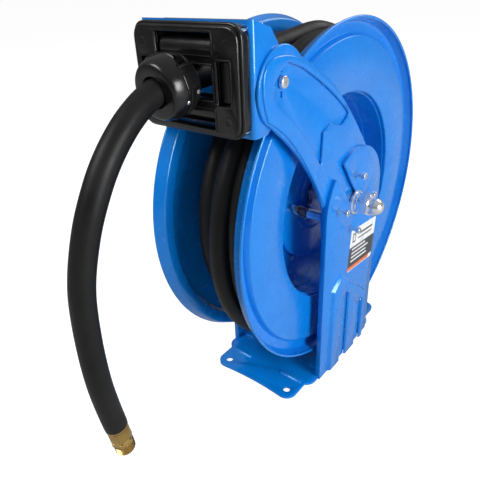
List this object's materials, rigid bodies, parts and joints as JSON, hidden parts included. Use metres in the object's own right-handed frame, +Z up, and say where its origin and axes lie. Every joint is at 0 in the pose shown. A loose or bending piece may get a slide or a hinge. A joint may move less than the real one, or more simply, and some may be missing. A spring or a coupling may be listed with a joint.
{
  "type": "spring rewind hose reel",
  "caption": "Spring-rewind hose reel on a twin-stand base, with a roller guide, a wound rubber hose and its brass end fitting.",
  "frame": {"origin": "centre of the base plate's underside, midway between the four mounting holes", "axes": "+X along the reel's axis towards the dome nut, -Y to the front where the hose comes out, +Z up"},
  "size_m": [0.2852, 0.701, 0.5755],
  "materials": {
    "blue_paint": "gloss powder-coated sheet steel",
    "zinc": "bright zinc-plated steel",
    "steel": "machined steel",
    "spring_steel": "oil-tempered spring strip",
    "black_plastic": "satin moulded nylon",
    "brass": "turned brass",
    "bronze": "sintered bronze",
    "rubber": "matt black rubber",
    "label": "printed film with plain bars"
  },
  "bodies": {
    "frame": {"base_plate": "blue_paint", "stand_right": "blue_paint", "stand_left": "blue_paint", "guide_arm_right": "blue_paint", "guide_arm_left": "blue_paint", "guide_bracket": "blue_paint", "foot_bolts": "zinc", "hub_screws_right": "zinc", "hub_screws_left": "zinc", "hub_spacers_right": "zinc", "hub_spacers_left": "zinc", "cage_screws": "zinc", "guide_screw_right": "zinc", "guide_screw_left": "zinc", "washers_right": "zinc", "washers_left": "zinc", "dome_nut": "zinc", "shaft_nut_left": "zinc", "pawl_bolt": "zinc", "stopper_screws": "zinc", "main_shaft": "steel", "roller_pins": "steel", "spring_arbor": "steel", "pawl_spring": "spring_steel", "roller_frame": "black_plastic", "roller_cage": "black_plastic", "stopper_upper": "black_plastic", "stopper_lower": "black_plastic", "inlet_elbow": "brass", "hose_ferrule": "brass", "end_fitting": "brass", "hose_tail": "rubber", "label_plate": "label"},
    "reel": {"disc_right": "blue_paint", "disc_left": "blue_paint", "drum": "blue_paint", "web_right": "blue_paint", "web_left": "blue_paint", "spring_case": "blue_paint", "spring_cover": "blue_paint", "case_bolts": "zinc", "main_spring": "spring_steel", "ratchet_wheel": "steel", "bush_right": "bronze", "bush_left": "bronze", "swivel_body": "brass", "swivel_seals": "rubber", "outlet_pipe": "steel", "wound_hose": "rubber"},
    "pawl": {"pawl": "steel"},
    "roller_top": {"roller_top": "black_plastic"},
    "roller_bottom": {"roller_bottom": "black_plastic"},
    "roller_right": {"roller_right": "black_plastic"},
    "roller_left": {"roller_left": "black_plastic"}
  },
  "joints": [
    {"name": "reel_turn", "type": "hinge", "parent": "frame", "child": "reel", "pos_m": [0, 0, 0.3], "axis": [1, 0, 0], "range_deg": [0, 3960], "stiffness_Nm_per_rad": 0.12, "springref_deg": -1432.39},
    {"name": "pawl_swing", "type": "hinge", "parent": "frame", "child": "pawl", "pos_m": [0.0355, -0.068, 0.297], "axis": [-1, 0, 0], "range_deg": [0, 20], "stiffness_Nm_per_rad": 0.02, "springref_deg": -28.65},
    {"name": "roller_top_spin", "type": "hinge", "parent": "frame", "child": "roller_top", "pos_m": [0, -0.23, 0.5475], "axis": [1, 0, 0], "continuous": true},
    {"name": "roller_bottom_spin", "type": "hinge", "parent": "frame", "child": "roller_bottom", "pos_m": [0, -0.23, 0.4845], "axis": [1, 0, 0], "continuous": true},
    {"name": "roller_right_spin", "type": "hinge", "parent": "frame", "child": "roller_right", "pos_m": [0.0512, -0.23, 0.516], "axis": [0, 0, 1], "continuous": true},
    {"name": "roller_left_spin", "type": "hinge", "parent": "frame", "child": "roller_left", "pos_m": [-0.0512, -0.23, 0.516], "axis": [0, 0, 1], "continuous": true}
  ]
}
